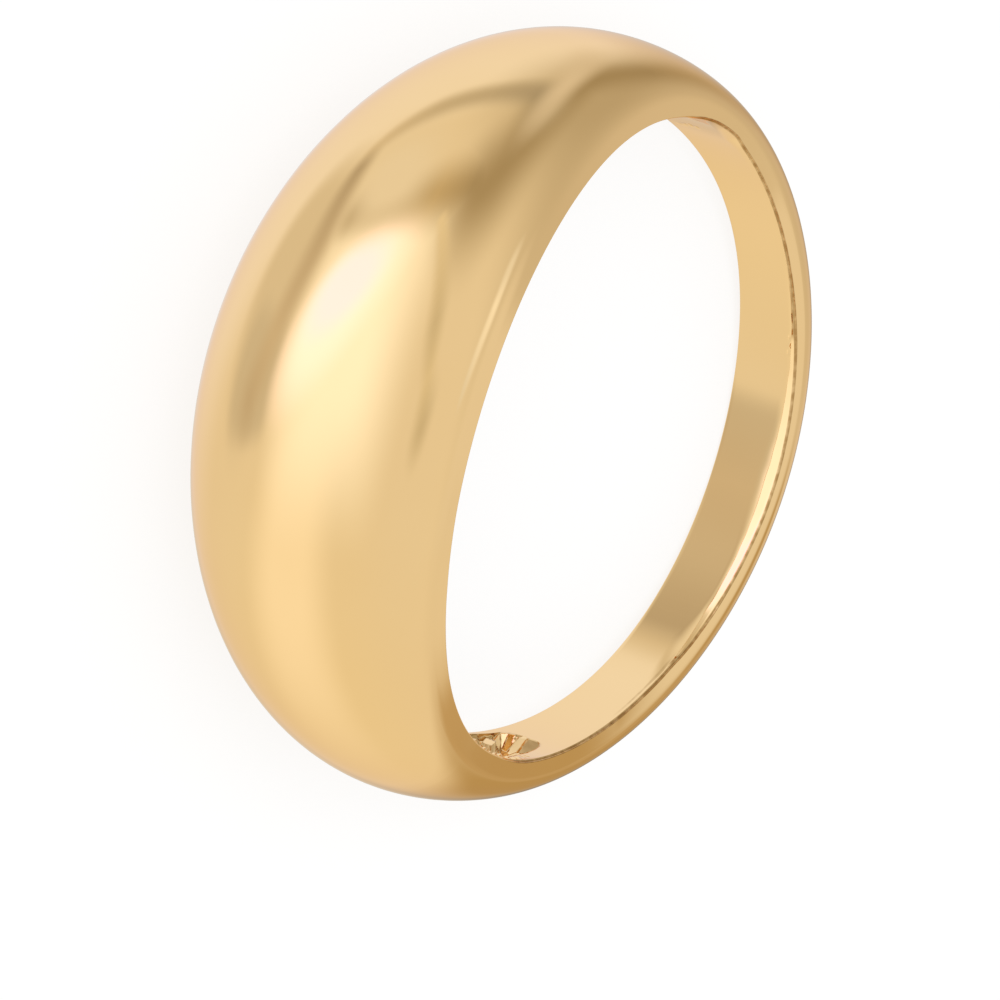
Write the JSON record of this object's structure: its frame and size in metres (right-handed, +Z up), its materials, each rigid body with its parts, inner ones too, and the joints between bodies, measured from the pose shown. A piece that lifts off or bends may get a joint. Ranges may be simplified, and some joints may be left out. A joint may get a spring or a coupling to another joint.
{
  "type": "dome ring",
  "caption": "Finger ring lying on its side: a wide hollow-backed dome that tapers smoothly into a narrow plain shank, in polished yellow metal.",
  "frame": {"origin": "middle of the ring's box in X and Y, on the surface it lies on", "axes": "+Z up from the surface the ring lies on; +Y from the dome towards the narrow back of the shank; +X across the finger hole; the finger's axis leans 8.9 degrees from +Z towards +Y"},
  "size_m": [0.0204, 0.0226, 0.0076],
  "materials": {
    "polished_gold": "mirror-polished pale yellow gold, probably plating over brass"
  },
  "bodies": {
    "root": {"dome_band": "polished_gold"}
  },
  "joints": []
}
